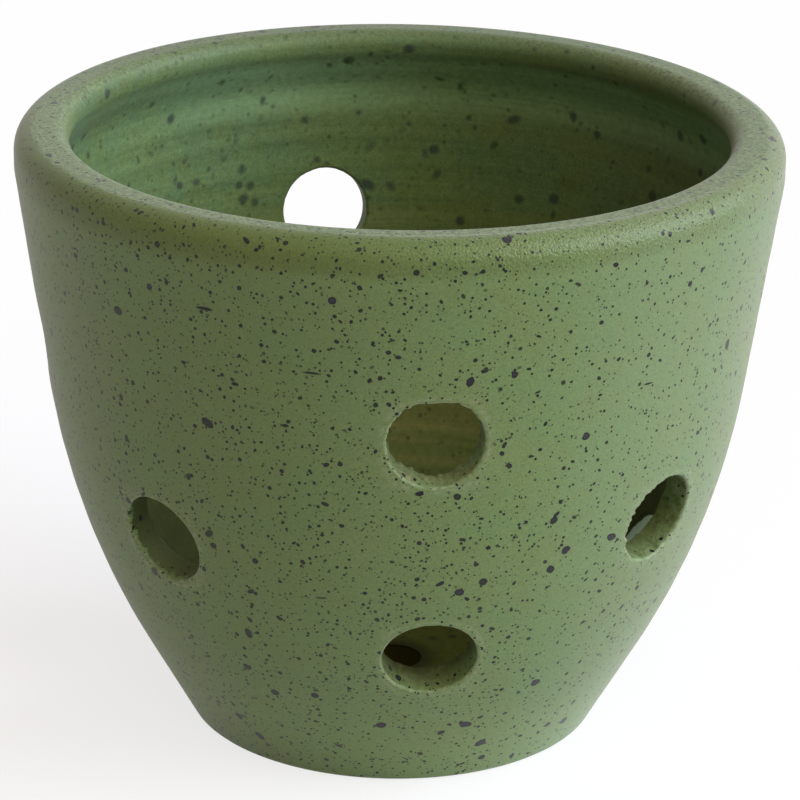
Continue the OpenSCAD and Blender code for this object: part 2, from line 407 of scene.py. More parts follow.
def hole_edges(number):
    """Radius and rounding of one hole outside and inside, by angle. Outside, the radius has
    broad lobes and small crumbs, torn deepest on one side, and the top may be cut flat. Inside,
    a burr of clay narrows it, in broad steps with crumbs on them."""
    rag = raggedness[number]
    crumbs = seeded_waves(3 * number + 1, 12, 60, 0.2)
    torn = 0.3 + 0.7 * np.maximum(np.cos(ring_angles - ragged_side[number]), 0)
    lobes = 0.06 * seeded_waves(3 * number, 2, 9, 0.6)
    out_radius = hole_r + MM * rag * (lobes + 0.3 * torn * (crumbs - 0.25))
    flat_top = (hole_r - top_flat[number]) / np.maximum(np.sin(ring_angles), 0.1) + 0.12 * MM * rag * crumbs
    out_radius = np.minimum(np.minimum(out_radius, hole_r + 0.12 * MM), flat_top)
    burr = seeded_waves(3 * number + 2, 3, 22, 0.5)
    burr = np.clip(0.5 * burr + 0.5 * np.round(3 * burr) / 3, -0.25, 1)
    burr = burr + 0.4 * seeded_waves(400 + number, 16, 50, 0.3)
    in_radius = hole_r - 0.05 * MM - burr_size[number] * (0.3 + 0.8 * burr)
    out_edge = MM * (0.62 + 0.16 * min(rag, 1) * seeded_waves(100 + number, 3, 20, 0.4))
    in_edge = MM * (0.7 - 0.25 * rag + 0.2 * rag * seeded_waves(200 + number, 4, 28, 0.3))
    return (out_radius, in_radius), (out_edge, np.maximum(in_edge, 0.15 * MM))


def hole_rings(number, loop_radius):
    """All rings of one hole, from the outer wall to the inner wall, and for each of their points
    how pale the edge is there and how far along the tube it lies. The patches lie on the wall.
    An edge is a quarter circle: at an angle bend, it is edge * (1 - sin(bend)) wider than the
    tube and edge * (1 - cos(bend)) below the wall."""
    centre, *axes = hole_frame(*holes[number])
    radii, roundings = hole_edges(number)
    rings, marks = [], []

    def add(side, radius, sink, pale):
        across, up = radius * np.array([np.cos(ring_angles), np.sin(ring_angles)])
        depth = depth_to_wall(side, centre, axes, across, up) + sink
        rings.append(in_frame(centre, axes, across, up, depth))
        marks.append((pale, side))

    def add_patch(side, share, pale):
        inner = radii[side] + roundings[side]
        add(side, (1 - share) * inner + share * PATCH_FILL * loop_radius[side], 0, pale)

    def add_edge(side, bend):
        edge = roundings[side]
        sink = (1 if side == OUTSIDE else -1) * edge * (1 - math.cos(bend))
        # The paleness of an edge ring peaks half way round the bend: chipped glaze with a painted highlight.
        add(side, radii[side] + edge * (1 - math.sin(bend)), sink, math.sin(2 * bend) ** 0.5)

    for share, pale in zip(PATCH_SHARES, PATCH_PALE):
        add_patch(OUTSIDE, share, pale)
    for bend in np.linspace(0, TURN / 4, EDGE_RINGS):
        add_edge(OUTSIDE, bend)
    for bend in np.linspace(TURN / 4, 0, EDGE_RINGS):
        add_edge(INSIDE, bend)
    first, last = rings[MOUTH_RINGS - 1:MOUTH_RINGS + 1]
    shares = np.linspace(0, 1, TUBE_RINGS + 2)[1:-1]
    spaced = (smooth_step(0, 1, shares) * shares) ** 0.5
    rings[MOUTH_RINGS:MOUTH_RINGS] = [first + (last - first) * share for share in spaced]
    marks[MOUTH_RINGS:MOUTH_RINGS] = [(0, share) for share in shares]
    for share in reversed(PATCH_SHARES):
        add_patch(INSIDE, share, 0)
    return np.array(rings), *np.repeat(np.array(marks), RING_POINTS, axis=0).T


# %% [markdown]
# ## Sewing the sleeves into the grid
#
# A block of cells is taken out of the grid where a hole meets each side of the wall. Its
# border has another count of points than the sleeve's ring, so the two loops are sewn with
# triangles: each step round both belongs to the loop whose next point comes first by angle.

# %% Cut a block out of the grid and give its border
def cut_block(kept, side, centre, axes):
    """Marks the cells of a block round a hole as removed, and gives the border's point numbers
    with their angles and radii about the hole, in order of angle."""
    middle = centre - depth_to_wall(side, centre, axes, np.zeros(1), np.zeros(1))[0] * axes[2]
    s = wall_s(side, middle[2])
    row_low = int(np.searchsorted(row_s, s - PATCH_REACH)) - 1
    row_high = int(np.searchsorted(row_s, s + PATCH_REACH))
    column = math.atan2(middle[1], middle[0]) / TURN * COLUMNS
    reach = PATCH_REACH / math.hypot(middle[0], middle[1]) / TURN * COLUMNS
    column_low, column_high = math.floor(column - reach), math.ceil(column + reach)
    rows, columns = np.arange(row_low, row_high + 1), np.arange(column_low, column_high + 1)
    kept[np.ix_(rows[:-1], columns[:-1] % COLUMNS)] = False
    on_border = np.isin(rows, (row_low, row_high))[:, None] | np.isin(columns, (column_low, column_high))
    ids = grid_ids[np.ix_(rows, columns % COLUMNS)][on_border]
    offsets = grid_points.reshape(-1, 3)[ids] - centre
    x, y = offsets @ axes[0], offsets @ axes[1]
    angle = np.arctan2(y, x) % TURN
    order = np.argsort(angle)
    return ids[order], angle[order], np.hypot(x, y)[order]


def sew_loops(a_ids, a_angles, b_ids, b_angles):
    """Triangles between two loops that run the same way round. Each step between neighbours of
    either loop makes one triangle, and the steps of both are sorted by their middle angle."""
    a_mid, b_mid = (angles + (np.roll(angles, -1) - angles) % TURN / 2 for angles in (a_angles, b_angles))
    is_a = np.argsort(np.concatenate([a_mid, b_mid]), kind="stable") < len(a_ids)

    def here_and_next(ids, taken):
        now = np.cumsum(taken) - taken
        return ids[now % len(ids)], ids[(now + 1) % len(ids)]

    (a_here, a_next), (b_here, b_next) = here_and_next(a_ids, is_a), here_and_next(b_ids, ~is_a)
    return np.stack([a_here, np.where(is_a, a_next, b_next), b_here], axis=1)


def ring_quads(ids):
    """Quads between neighbouring rings, which close round."""
    here, ahead = ids, np.roll(ids, -1, axis=1)
    return np.stack([here[:-1], ahead[:-1], ahead[1:], here[1:]], axis=-1).reshape(-1, 4)


# %% Build all the sleeves
OUTER, RIM, INNER, LINING = "outer_glaze", "rim_glaze", "inner_glaze", "hole_glaze"
quads = {name: [] for name in (OUTER, RIM, INNER, LINING)}
triangles = {name: [] for name in quads}
kept = np.ones((len(row_s) - 1, COLUMNS), bool)
points, normals = [grid_points.reshape(-1, 3)], [surface_normals(grid_points).reshape(-1, 3)]
edge_values, along_values, low_values = ([np.zeros(grid_ids.size)] for _ in range(3))
first_id = grid_ids.size

for number, hole in enumerate(holes):
    centre, *axes = hole_frame(*hole)
    borders = [cut_block(kept, side, centre, axes) for side in (OUTSIDE, INSIDE)]
    loop_radius = [np.interp(ring_angles, angle, radius, period=TURN) for _, angle, radius in borders]
    rings, edges, alongs = hole_rings(number, loop_radius)
    ids = first_id + np.arange(edges.size).reshape(-1, RING_POINTS)
    first_id += ids.size
    points.append(rings.reshape(-1, 3))
    normals.append(surface_normals(rings).reshape(-1, 3))
    edge_values.append(edges)
    along_values.append(alongs)
    low_values.append(np.tile(np.maximum(-np.sin(ring_angles), 0), len(rings)))
    quads[OUTER].append(ring_quads(ids[:MOUTH_RINGS]))
    quads[LINING].append(ring_quads(ids[MOUTH_RINGS - 1:len(ids) - MOUTH_RINGS + 1]))
    quads[INNER].append(ring_quads(ids[len(ids) - MOUTH_RINGS:]))
    triangles[OUTER].append(sew_loops(*borders[OUTSIDE][:2], ids[0], ring_angles))
    triangles[INNER].append(sew_loops(ids[-1], ring_angles, *borders[INSIDE][:2]))

cell_quads = ring_quads(grid_ids).reshape(len(row_s) - 1, COLUMNS, 4)
for name, rows in ((OUTER, slice(0, outer_line_row)), (RIM, slice(outer_line_row, inner_line_row)),
                   (INNER, slice(inner_line_row, None))):
    quads[name].append(cell_quads[rows][kept[rows]])
points, normals = np.vstack(points), np.vstack(normals)
edge_values, along_values, low_values = map(np.concatenate, (edge_values, along_values, low_values))
print("points of the whole skin:", len(points))

# %% [markdown]
# ## From skin to coat
#
# Each coat is its part of the skin, a second sheet one glaze thickness below it that faces the
# clay, and a narrow wall round every border, so it is closed. The shading normals come from the
# whole skin, so the light runs on over the line where two coats meet.

# %% Make a closed coat of glaze
def new_object(name, data):
    """An object that holds this data, in the scene."""
    made = bpy.data.objects.new(name, data)
    bpy.context.scene.collection.objects.link(made)
    return made


def border_edges(faces):
    """Directed edges that only one face uses: those whose opposite is in no other face."""
    steps = [np.stack([f, np.roll(f, -1, axis=1)], axis=-1).reshape(-1, 2) for f in faces if len(f)]
    edges = np.vstack(steps)
    count = edges.max() + 1
    forward, backward = edges[:, 0] * count + edges[:, 1], edges[:, 1] * count + edges[:, 0]
    return edges[~np.isin(forward, backward)]


def glaze_coat(name, thickness):
    """One coat as a closed mesh that stands for the frame's node of the same name."""
    quad = np.vstack(quads[name])
    triangle = np.vstack(triangles[name]) if triangles[name] else np.zeros((0, 3), int)
    used, places = np.unique(np.concatenate([quad.ravel(), triangle.ravel()]), return_inverse=True)
    quad, triangle = places[:quad.size].reshape(-1, 4), places[quad.size:].reshape(-1, 3)
    count = len(used)
    border = border_edges([quad, triangle])
    wall = np.stack([border[:, 1], border[:, 0], border[:, 0] + count, border[:, 1] + count], axis=1)
    faces = [quad, quad[:, ::-1] + count, wall, triangle, triangle[:, ::-1] + count]
    mesh = bpy.data.meshes.new(name + "_coat")
    mesh.from_pydata(np.vstack([points[used], points[used] - thickness * normals[used]]), [],
                     [face for block in faces for face in block.tolist()])
    shading = np.vstack([normals[used], -normals[used]])
    corner = [shading[block].reshape(-1, 3) for block in faces]
    corner[2] = np.zeros_like(corner[2])        # the narrow wall keeps its own normals
    mesh.polygons.foreach_set("use_smooth", np.ones(len(mesh.polygons), bool))
    mesh.normals_split_custom_set(np.vstack(corner))
    for label, values in (("hole_edge", edge_values), ("tube_depth", along_values), ("low_side", low_values)):
        attribute = mesh.attributes.new(label, "FLOAT", "POINT")
        attribute.data.foreach_set("value", np.tile(values[used], 2).astype(np.float32))
    coat = new_object(name + "_coat", mesh)
    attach(coat, "root")
    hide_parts(name)
    print(name, "triangles:", sum(len(b) * (b.shape[1] - 2) for b in faces),
          " open edges:", len(border_edges(faces)))
    return coat


coats = {name: glaze_coat(name, hole_glaze_t if name == LINING else glaze_t) for name in quads}

# %% [markdown]
# ## Short ways to add nodes
#
# These helpers add one node to the tree that was opened last, link what is a socket, set what
# is a plain value, and give back the socket that comes out.

# %% Adding and joining nodes
class Opened:
    """The node tree that is being filled."""
    tree = None


def srgb(red, green, blue):
    """A colour written as in a picture, 0 to 255, in the linear values that a shader takes."""
    c = np.array([red, green, blue]) / 255
    linear = np.where(c <= 0.04045, c / 12.92, ((c + 0.055) / 1.055) ** 2.4)
    return (*linear.tolist(), 1.0)


def fill(sockets, inputs):
    """Links what is a socket to the socket of that name, and sets what is a plain value."""
    for label, value in inputs.items():
        if isinstance(value, bpy.types.NodeSocket):
            Opened.tree.links.new(value, sockets[label])
        else:
            sockets[label].default_value = value


def add_node(kind, inputs=None, **settings):
    """A shader node in the open tree."""
    made = Opened.tree.nodes.new("ShaderNode" + kind)
    for label, value in settings.items():
        setattr(made, label, value)
    fill(made.inputs, inputs or {})
    return made


def new_group(name, inputs, outputs):
    """An empty node group, opened, with the vector Place and these inputs. Color is a colour, and
    every other input and output is a number."""
    tree = bpy.data.node_groups.new(name, "ShaderNodeTree")
    Opened.tree = tree
    tree.interface.new_socket("Place", in_out="INPUT", socket_type="NodeSocketVector")
    for label in inputs:
        tree.interface.new_socket(label, in_out="INPUT", socket_type="NodeSocketFloat")
    for label in outputs:
        kind = "NodeSocketColor" if label == "Color" else "NodeSocketFloat"
        tree.interface.new_socket(label, in_out="OUTPUT", socket_type=kind)
    return tree, tree.nodes.new("NodeGroupInput").outputs, tree.nodes.new("NodeGroupOutput").inputs


def use_group(group, place, inputs=None):
    """The outputs of a group at a place."""
    made = add_node("Group", node_tree=group)
    fill(made.inputs, {"Place": place, **(inputs or {})})
    return made.outputs


# %% Sums on numbers and vectors
def maths(operation, a, b=0.0, c=0.0, clamp=False):
    made = add_node("Math", {0: a, 1: b, 2: c}, operation=operation, use_clamp=clamp)
    return made.outputs[0]


def times(product, *factors):
    for factor in factors:
        product = maths("MULTIPLY", product, factor)
    return product


def minus(a, b):
    return maths("SUBTRACT", a, b)


def times_plus(a, b, c):
    return maths("MULTIPLY_ADD", a, b, c)


def vector_maths(operation, a, b=(0, 0, 0)):
    made = add_node("VectorMath", {0: a, 1: b}, operation=operation)
    return made.outputs["Value" if operation in ("DOT_PRODUCT", "LENGTH") else "Vector"]


def scaled(vector, factor):
    return add_node("VectorMath", {0: vector, "Scale": factor}, operation="SCALE").outputs[0]


def vector_of(x=0.0, y=0.0, z=0.0):
    return add_node("CombineXYZ", {0: x, 1: y, 2: z}).outputs[0]


def split_place(place):
    """X, Y and height of a place, its vector from the axis, and that vector's length."""
    x, y, z = add_node("SeparateXYZ", {0: place}).outputs
    flat = vector_of(x, y)
    return x, y, z, flat, vector_maths("LENGTH", flat)


# %% Ramps, noise and colours
def ramp(value, low, high, to_low=0.0, to_high=1.0, smooth=True):
    """Takes low..high of a value to to_low..to_high, held at both ends."""
    made = add_node("MapRange", {0: value, 1: low, 2: high, 3: to_low, 4: to_high},
                    interpolation_type="SMOOTHSTEP" if smooth else "LINEAR")
    return made.outputs[0]


def noise(vector, size, detail=2.0, roughness=0.5, kind="Fac"):
    """Noise whose lumps are about size across, in the unit of the vector."""
    inputs = {"Vector": vector, "Scale": 1 / size, "Detail": detail, "Roughness": roughness}
    return add_node("TexNoise", inputs).outputs[kind]


def patches(vector, size, detail, roughness, low, high, *ends, smooth=True):
    """Noise whose share from low to high is taken to 0..1, or to the two ends."""
    return ramp(noise(vector, size, detail, roughness), low, high, *ends, smooth=smooth)


def ragged(value, place, amount, size, detail=3.0, roughness=0.5):
    """A value plus up to that amount of noise, so that a line drawn by it is ragged."""
    return times_plus(noise(place, size, detail, roughness), amount, value)


def mix(share, a, b, blend="MIX"):
    """From colour a to colour b by a share. A colour may be given by its name."""
    a, b = (paint[colour] if isinstance(colour, str) else colour for colour in (a, b))
    made = add_node("Mix", {0: share, 6: a, 7: b}, data_type="RGBA", blend_type=blend)
    return made.outputs[2]


def layers(colour, *table):
    """Colours laid over one another in turn. Each covers by the product of its shares."""
    for over, *shares in table:
        colour = mix(times(*shares), colour, over)
    return colour


def shaded_by(share, colour, factor):
    """A colour times a number, by a share."""
    grey = add_node("CombineColor", {i: factor for i in range(3)}).outputs[0]
    return mix(share, colour, grey, "MULTIPLY")


# %% [markdown]
# ## Flecks of slip
#
# The dark flecks are drops flicked from a brush. Each cell of a Voronoi pattern holds at most
# one: its random numbers say whether it is there, how wide it is, and which way it is pulled
# long. Distance to the drop's centre, with that pull taken out and a little noise added, gives
# its ragged outline. The pattern fills space, so the flecks run on over the lip.

# %% The group that makes one size of fleck
fleck_inputs = ("Cell", "Presence", "Least radius", "Largest radius", "Pull", "Raggedness", "Softness")
fleck_group, given, made = new_group("Slip flecks", fleck_inputs, ["Mask", "Depth", "Tone"])
half = (0.5, 0.5, 0.5)
wander = vector_maths("SUBTRACT", noise(given["Place"], 0.45, 2, kind="Color"), half)
place = vector_maths("ADD", given["Place"], scaled(wander, given["Raggedness"]))
in_cells = scaled(place, maths("DIVIDE", 1.0, given["Cell"]))
cells = add_node("TexVoronoi", {"Vector": in_cells, "Scale": 1.0, "Randomness": 1.0})
chance = add_node("SeparateColor", {0: cells.outputs["Color"]}).outputs
centre = cells.outputs["Position"]
dice = add_node("TexWhiteNoise", {"Vector": centre}, noise_dimensions="3D").outputs
from_centre = scaled(vector_maths("SUBTRACT", in_cells, centre), given["Cell"])
way = vector_maths("NORMALIZE", vector_maths("SUBTRACT", dice["Color"], half))
along = vector_maths("DOT_PRODUCT", from_centre, way)
few_are_long = maths("POWER", chance[0], 4.0)
pull = times_plus(few_are_long, given["Pull"], 1.0)
shrink = minus(maths("DIVIDE", 1.0, pull), 1.0)
squeezed = scaled(way, times(along, shrink))
distance = vector_maths("LENGTH", vector_maths("ADD", from_centre, squeezed))
few_are_wide = maths("POWER", dice["Value"], 2.2)
spread = minus(given["Largest radius"], given["Least radius"])
radius = times_plus(few_are_wide, spread, given["Least radius"])
present = maths("LESS_THAN", chance[1], given["Presence"])
inside = minus(radius, distance)
mask = maths("DIVIDE", inside, given["Softness"], clamp=True)
fill(made, {"Mask": times(mask, present), "Tone": chance[2],
            "Depth": times(maths("MAXIMUM", inside, 0.0), present)})
print("nodes in the fleck group:", len(fleck_group.nodes))

# %% [markdown]
# ## The cloudy ground of the glaze
#
# A matte glaze is never quite one colour. It drifts between a yellower and a bluer green over
# a centimetre or two, it is darker where it pooled, and it has a fine grain. The group gives
# these as masks, so that the glaze outside and inside share the clouds and not the colours.

# %% The group that makes the clouds
cloud_group, given, made = new_group("Glaze clouds", [], ["Drift", "Pool", "Grain", "Height"])
broad = noise(given["Place"], 17.0)
middle = noise(given["Place"], 5.0, 3.0, 0.6)
fine = noise(given["Place"], 0.42, 2.0, 0.7)
drift = times_plus(middle, 0.5, times(broad, 0.5))
fill(made, {"Drift": ramp(drift, 0.36, 0.64), "Pool": ramp(middle, 0.5, 0.8),
            "Grain": ramp(fine, 0.3, 0.7, 0.8, 1.17, smooth=False),
            "Height": times_plus(fine, 0.6, times(middle, 0.4))})


# %% A ground from its masks and three colours
def ground_colour(clouds, glaze):
    """Cool to warm by the drift, then towards the pooled colour, times the grain."""
    colour = mix(clouds["Drift"], glaze + "_cool", glaze + "_warm")
    colour = layers(colour, (glaze + "_pooled", clouds["Pool"], 0.3))
    return shaded_by(1.0, colour, clouds["Grain"])


# %% [markdown]
# ## Sizes of fleck
#
# A loaded brush throws everything from dust to drops two millimetres wide. Each size has its
# own cell, and so its own count on a square centimetre. Inside, the dust is missing and the
# drops are more, wider and softer. A wide drop dries with a dark ring and a greyer heart.

# %% The sizes in millimetres, a row for each size and one for the streaks, and their spattering
*fleck_sizes, streak_sizes = [dict(zip(fleck_inputs, row)) for row in (
    (0.8, 0.42, 0.1, 0.2, 0.8, 0.1, 0.07), (0.95, 0.78, 0.18, 0.34, 1.0, 0.15, 0.06),
    (1.8, 0.6, 0.3, 0.52, 1.6, 0.22, 0.08), (3.8, 0.34, 0.45, 1.05, 1.2, 0.3, 0.1),
    (3.4, 0.2, 0.16, 0.4, 1.0, 0.35, 0.08))]
presence_inside = [0.0, 0.08, 0.75, 2.0]    # times the presence outside
radius_inside = 1.5
softer_inside = 0.6


def spatter(place, colour, share, within):
    """Lays four sizes of fleck over a colour, and gives the colour and the mask of all flecks.
    The share thins them out, and within says how far the place is inside the pot. Each size
    is moved by its own step, so that the patterns don't fall on each other."""
    cover = 0.0
    dark = mix(within, "fleck", "fleck_inside")
    for number, sizes in enumerate(fleck_sizes):
        at_inside = {"Presence": sizes["Presence"] * presence_inside[number],
                     "Softness": sizes["Softness"] + softer_inside,
                     "Least radius": radius_inside * sizes["Least radius"],
                     "Largest radius": radius_inside * sizes["Largest radius"]}
        here = {label: ramp(within, 0, 1, sizes[label], value) for label, value in at_inside.items()}
        here["Presence"] = times(here["Presence"], share)
        moved = vector_maths("ADD", place, (17.3 * number, 5.1 * number, 9.7 * number))
        drops = use_group(fleck_group, moved, {**sizes, **here})
        heart = times(ramp(drops["Depth"], 0.16, 0.42, 0.0, 0.9), drops["Tone"])
        strength = ramp(drops["Tone"], 0.0, 0.6, 0.6 if number < 2 else 0.9, 1.0)
        mask = times(drops["Mask"], times_plus(within, -0.25, strength))
        colour = mix(mask, colour, mix(heart, dark, "fleck_heart"))
        cover = maths("MAXIMUM", cover, mask)
    return colour, cover


# %% [markdown]
# ## One glaze for the whole pot
#
# The glaze is one material that changes with its place. Outside it is sage green, with painted
# shade to the left and painted light to the right and towards the foot. Over the lip it was wiped
# thin and dried to a greyer green with short smears that follow the rim, and on the shoulder below
# them it lies thick, glossier and more yellow, laid on more strongly to the left as painted shade.
# Inside the pot it is a darker olive, with painted shade that makes it darkest deep down and round
# the drain, and a band of painted light under the lip. In the air holes it is thin, with painted
# light on the low side and in one pale patch, and painted shade in the holes on the left.
# One group works all this out from the place, so that no line shows between two coats.
#
# The place is in millimetres. Within goes from 0 outside to 1 inside. Hole edge is 1 on the
# rounded edges of an air hole, In hole in its tube, and Low side on the lower half of both.

# %% The colours
paint = {name: srgb(*values) for name, values in dict(
    sage_cool=(107, 136, 87), sage_warm=(111, 135, 85), sage_pooled=(100, 122, 74),
    olive_cool=(90, 118, 80), olive_warm=(96, 119, 72), olive_pooled=(82, 98, 60),
    painted_shade_left=(90, 112, 68), foot=(124, 152, 98), painted_light_right=(156, 168, 156), thick=(88, 106, 52),
    painted_light_undercut=(134, 170, 126), finger_band=(114, 128, 75), ring_band_cool=(112, 134, 82), ring_band_warm=(137, 147, 96),
    deep=(60, 66, 28), floor=(88, 98, 42), painted_shade_by_drain=(44, 46, 20),
    dry=(93, 115, 77), dry_dusty=(118, 139, 99), smear=(84, 89, 78), dry_back=(86, 106, 68),
    chips_and_highlight=(146, 160, 128), tube=(66, 84, 42), tube_warm=(92, 104, 60), painted_light_low_side=(164, 172, 138),
    painted_shade_tube=(50, 56, 20), tube_low=(86, 94, 52), painted_shade_inner_edge=(50, 56, 22), tube_right=(70, 82, 40),
    painted_light_patch=(160, 182, 156), clay_dark=(124, 112, 90), clay_pale=(146, 134, 108), clay_grain=(84, 72, 56),
    drain=(80, 80, 36), fleck=(9, 11, 13), fleck_heart=(50, 49, 62), fleck_inside=(34, 48, 32)).items()}

# %% Where the lip's dry and thick glaze lie
glaze_group, given, made = new_group(
    "Fired glaze", ["Within", "Hole edge", "In hole", "Low side"],
    ["Color", "Cover", "Thick", "Height"])
place, within = given["Place"], given["Within"]
hole_edge, tube, low_side = given["Hole edge"], given["In hole"], given["Low side"]
clouds = use_group(cloud_group, place)
x, y, height, flat, radius = split_place(place)
outside = minus(1.0, within)
frontwards = ramp(y, -25, -66, 0, 1.6)
outer_line = ragged(maths("ADD", radius, frontwards), place, 1.8, 2.4, 4, 0.6)
inner_line = ragged(radius, place, 0.8, 1.2)
ragged_h = ragged(height, place, 1.6, 2.2)
dry = times(minus(1.0, ramp(outer_line, 72, 73)), ramp(inner_line, 64.9, 65.7),
            ramp(ragged_h, 118.6, 121.2))
thick = times(ramp(ragged_h, 114.5, 118), outside, minus(1.0, dry))

# %% Colours outside
sage = layers(
    ground_colour(clouds, "sage"),
    # Painted shade: the outside is darker towards the left, away from the key light.
    ("painted_shade_left", ramp(x, 5, -40, 0, 0.35), ramp(height, 8, 30)),
    # Painted light: paler towards the foot, as if lit by the floor below.
    ("foot", ramp(height, 22, 6, 0, 0.35)),
    # Painted light: paler towards the right, where the key light falls.
    ("painted_light_right", maths("ADD", ramp(x, 12, 45, 0, 0.1), ramp(x, 50, 75, 0, 0.12))))
colour = mix(within, sage, ground_colour(clouds, "olive"))
# Real thick glaze, laid on more strongly towards the left as painted shade.
colour = layers(colour, ("thick", thick, ramp(x, 25, -30, 0.4, 0.75)))

# %% Colours inside, from the underside of the lip down to the floor
flattened = vector_of(times(x, 0.03), times(y, 0.03), height)
# A lighter band round 37 mm high on the back wall inside.
ring_band = mix(patches(flattened, 4.5, 1, 0.5, 0.35, 0.65), "ring_band_cool", "ring_band_warm")
off_ring = maths("ABSOLUTE", minus(ragged_h, 37.0))
# Painted shade: the inside gets darker downwards from a height that is higher on the left and at the front.
deep_h = maths("MAXIMUM", ramp(x, -30, 0, 54, 24), ramp(y, 10, 32, 58, 24))
deep = maths("DIVIDE", minus(deep_h, ragged_h), 20.0, clamp=True)
# Painted shade on the inner floor, less dark than the wall above it and darkest round the drain hole.
floor_and_drain_shade = mix(ramp(radius, 11, 6), "floor", "painted_shade_by_drain")
colour = layers(
    colour,
    # Painted light: a paler band on the underside of the lip inside, weaker on the left.
    ("painted_light_undercut", ramp(height, 101, 108.5), ramp(height, 118.6, 114.2), within,
     ramp(x, -60, -15, 0.05, 0.85)),
    ("finger_band", patches(flattened, 6, 3, 0.6, 0.42, 0.62), within,
     ramp(height, 108, 80, 0.1, 0.45), ramp(x, -45, 0, 0.3, 1)),
    (ring_band, ramp(off_ring, 13, 4), ramp(x, -20, 5), ramp(y, 15, 33, 0, 0.85), within),
    # Painted shade deep inside the pot.
    ("deep", deep, 0.84, within),
    (floor_and_drain_shade, ramp(height, 18, 11, 0, 0.85), within))
finger_lines = patches(flattened, 1.7, 3, 0.7, 0.3, 0.7, 0.87, 1.13, smooth=False)
mottles = patches(place, 1.4, 4, 0.75, 0.3, 0.7, 0.82, 1.18, smooth=False)
colour = shaded_by(within, colour, times(mottles, finger_lines))

# %% Colours of the dry glaze on the lip, with smears that follow the rim
round_rim = scaled(flat, maths("DIVIDE", 22.0, radius))
round_rim = vector_maths("ADD", round_rim, vector_of(z=times(radius, 1.75)))
dusty = layers(
    mix(patches(place, 1, 4, 0.75, 0.38, 0.62), "dry", "dry_dusty"),
    ("smear", patches(round_rim, 1, 3, 0.6, 0.55, 0.67, 0, 0.5)),
    ("dry_back", ramp(y, 10, 70), 0.8))
colour = mix(dry, colour, dusty)
sandy = maths("MAXIMUM", dry, times(thick, 0.8))
sand = patches(place, 0.5, 2, 0.8, 0.3, 0.7, 0.76, 1.22, smooth=False)
colour = shaded_by(sandy, colour, sand)

# %% Colours in and round the air holes
# Painted shade in the air holes on the left: their tubes and inner edges are darker.
painted_shade_left_holes, right_side = ramp(x, -20, -42), ramp(x, 30, 40)
# Painted light: a pale patch in the low air hole on the right, where the key light falls into it.
painted_light_patch = times(ramp(x, 44, 48), ramp(height, 41, 37))
thin = layers(
    mix(patches(place, 0.9, 3, 0.7, 0.35, 0.65), "tube", "tube_warm"),
    # Painted light: the upward-facing low side of each tube is paler, less so on the right and lower down.
    ("painted_light_low_side", low_side, patches(place, 1.3, 3, 0.7, 0.4, 0.6, 0.2, 0.8),
     ramp(x, 38, 12, 0.2, 1), ramp(height, 42, 66, 0.35, 1)),
    ("painted_shade_tube", painted_shade_left_holes, 0.9),
    # Painted light on the low side of the left holes lifts that painted shade a little.
    ("tube_low", low_side, painted_shade_left_holes, 0.65),
    ("tube_right", right_side, 0.5),
    ("painted_light_patch", painted_light_patch))
in_hole = times(tube, patches(place, 2.4, 4, 0.65, 0.4, 0.66, 0.25, 1))
for share in (painted_shade_left_holes, painted_light_patch):
    in_hole = maths("MAXIMUM", in_hole, times(tube, share))
colour = layers(
    colour,
    # Pale outer hole edges: chipped glaze and painted highlight.
    ("chips_and_highlight", hole_edge, patches(place, 1.1, 3, 0.7, 0.4, 0.62), outside, 0.7),
    # Painted shade on the inner edges of the left holes.
    ("painted_shade_inner_edge", hole_edge, within, painted_shade_left_holes),
    (thin, in_hole, 0.85))

# %% Flecks, and streaks thrown round the pot
fewer = times_plus(tube, 0.3, times(dry, -0.25))
share = times(minus(1.0, fewer), ramp(x, -5, 35, 1, 0.62))
colour, cover = spatter(place, colour, share, within)
azimuth = maths("ARCTAN2", x, times(y, -1.0))
rolled_out = vector_of(times(azimuth, 13.0), height, radius)
streaks = use_group(fleck_group, rolled_out, streak_sizes)["Mask"]
away_from_seam = minus(1.0, ramp(maths("ABSOLUTE", azimuth), 2.9, 3.05))
streaks = times(streaks, away_from_seam, outside)
colour = mix(streaks, colour, "fleck")

# %% What the group puts out
glossy = times(thick, ramp(x, -25, 15, 0.1, 1))
pimples = times(noise(place, 0.5, 1.0), glossy)
fill(made, {"Color": colour, "Cover": maths("MAXIMUM", cover, streaks), "Thick": glossy,
            "Height": times_plus(pimples, 8.0, clouds["Height"])})
print("nodes in the glaze group:", len(glaze_group.nodes))


# %% [markdown]
# ## The coats get the glaze
#
# Each coat has its own material round the one group, because each knows something of its own:
# how far over the lip it is, or how deep in an air hole. A little sheen stands for the bloom
# that makes a matte glaze pale where it is seen edge on.

# %% A material that feeds the shader
def start_material(name):
    """A material, opened, with its shader node and the Object coordinates in millimetres."""
    material = bpy.data.materials.new(name)
    material.use_nodes = True
    Opened.tree = material.node_tree
    place = add_node("TexCoord").outputs["Object"]
    return material, Opened.tree.nodes["Principled BSDF"], scaled(place, 1 / MM)


def feed_shader(shader, colour, roughness, bump, height, gloss, bloom=0.0):
    """Sets the shader's sockets, with a bump whose height is given in millimetres."""
    relief = add_node("Bump", {"Strength": 1.0, "Distance": bump * MM, "Height": height})
    fill(shader.inputs, {
        "Base Color": colour, "Roughness": roughness, "Normal": relief.outputs["Normal"],
        "Specular IOR Level": gloss, "Sheen Weight": bloom, "Sheen Roughness": 0.4 if bloom else 0.5})


def attribute_of(name):
    return add_node("Attribute", attribute_name=name).outputs["Fac"]


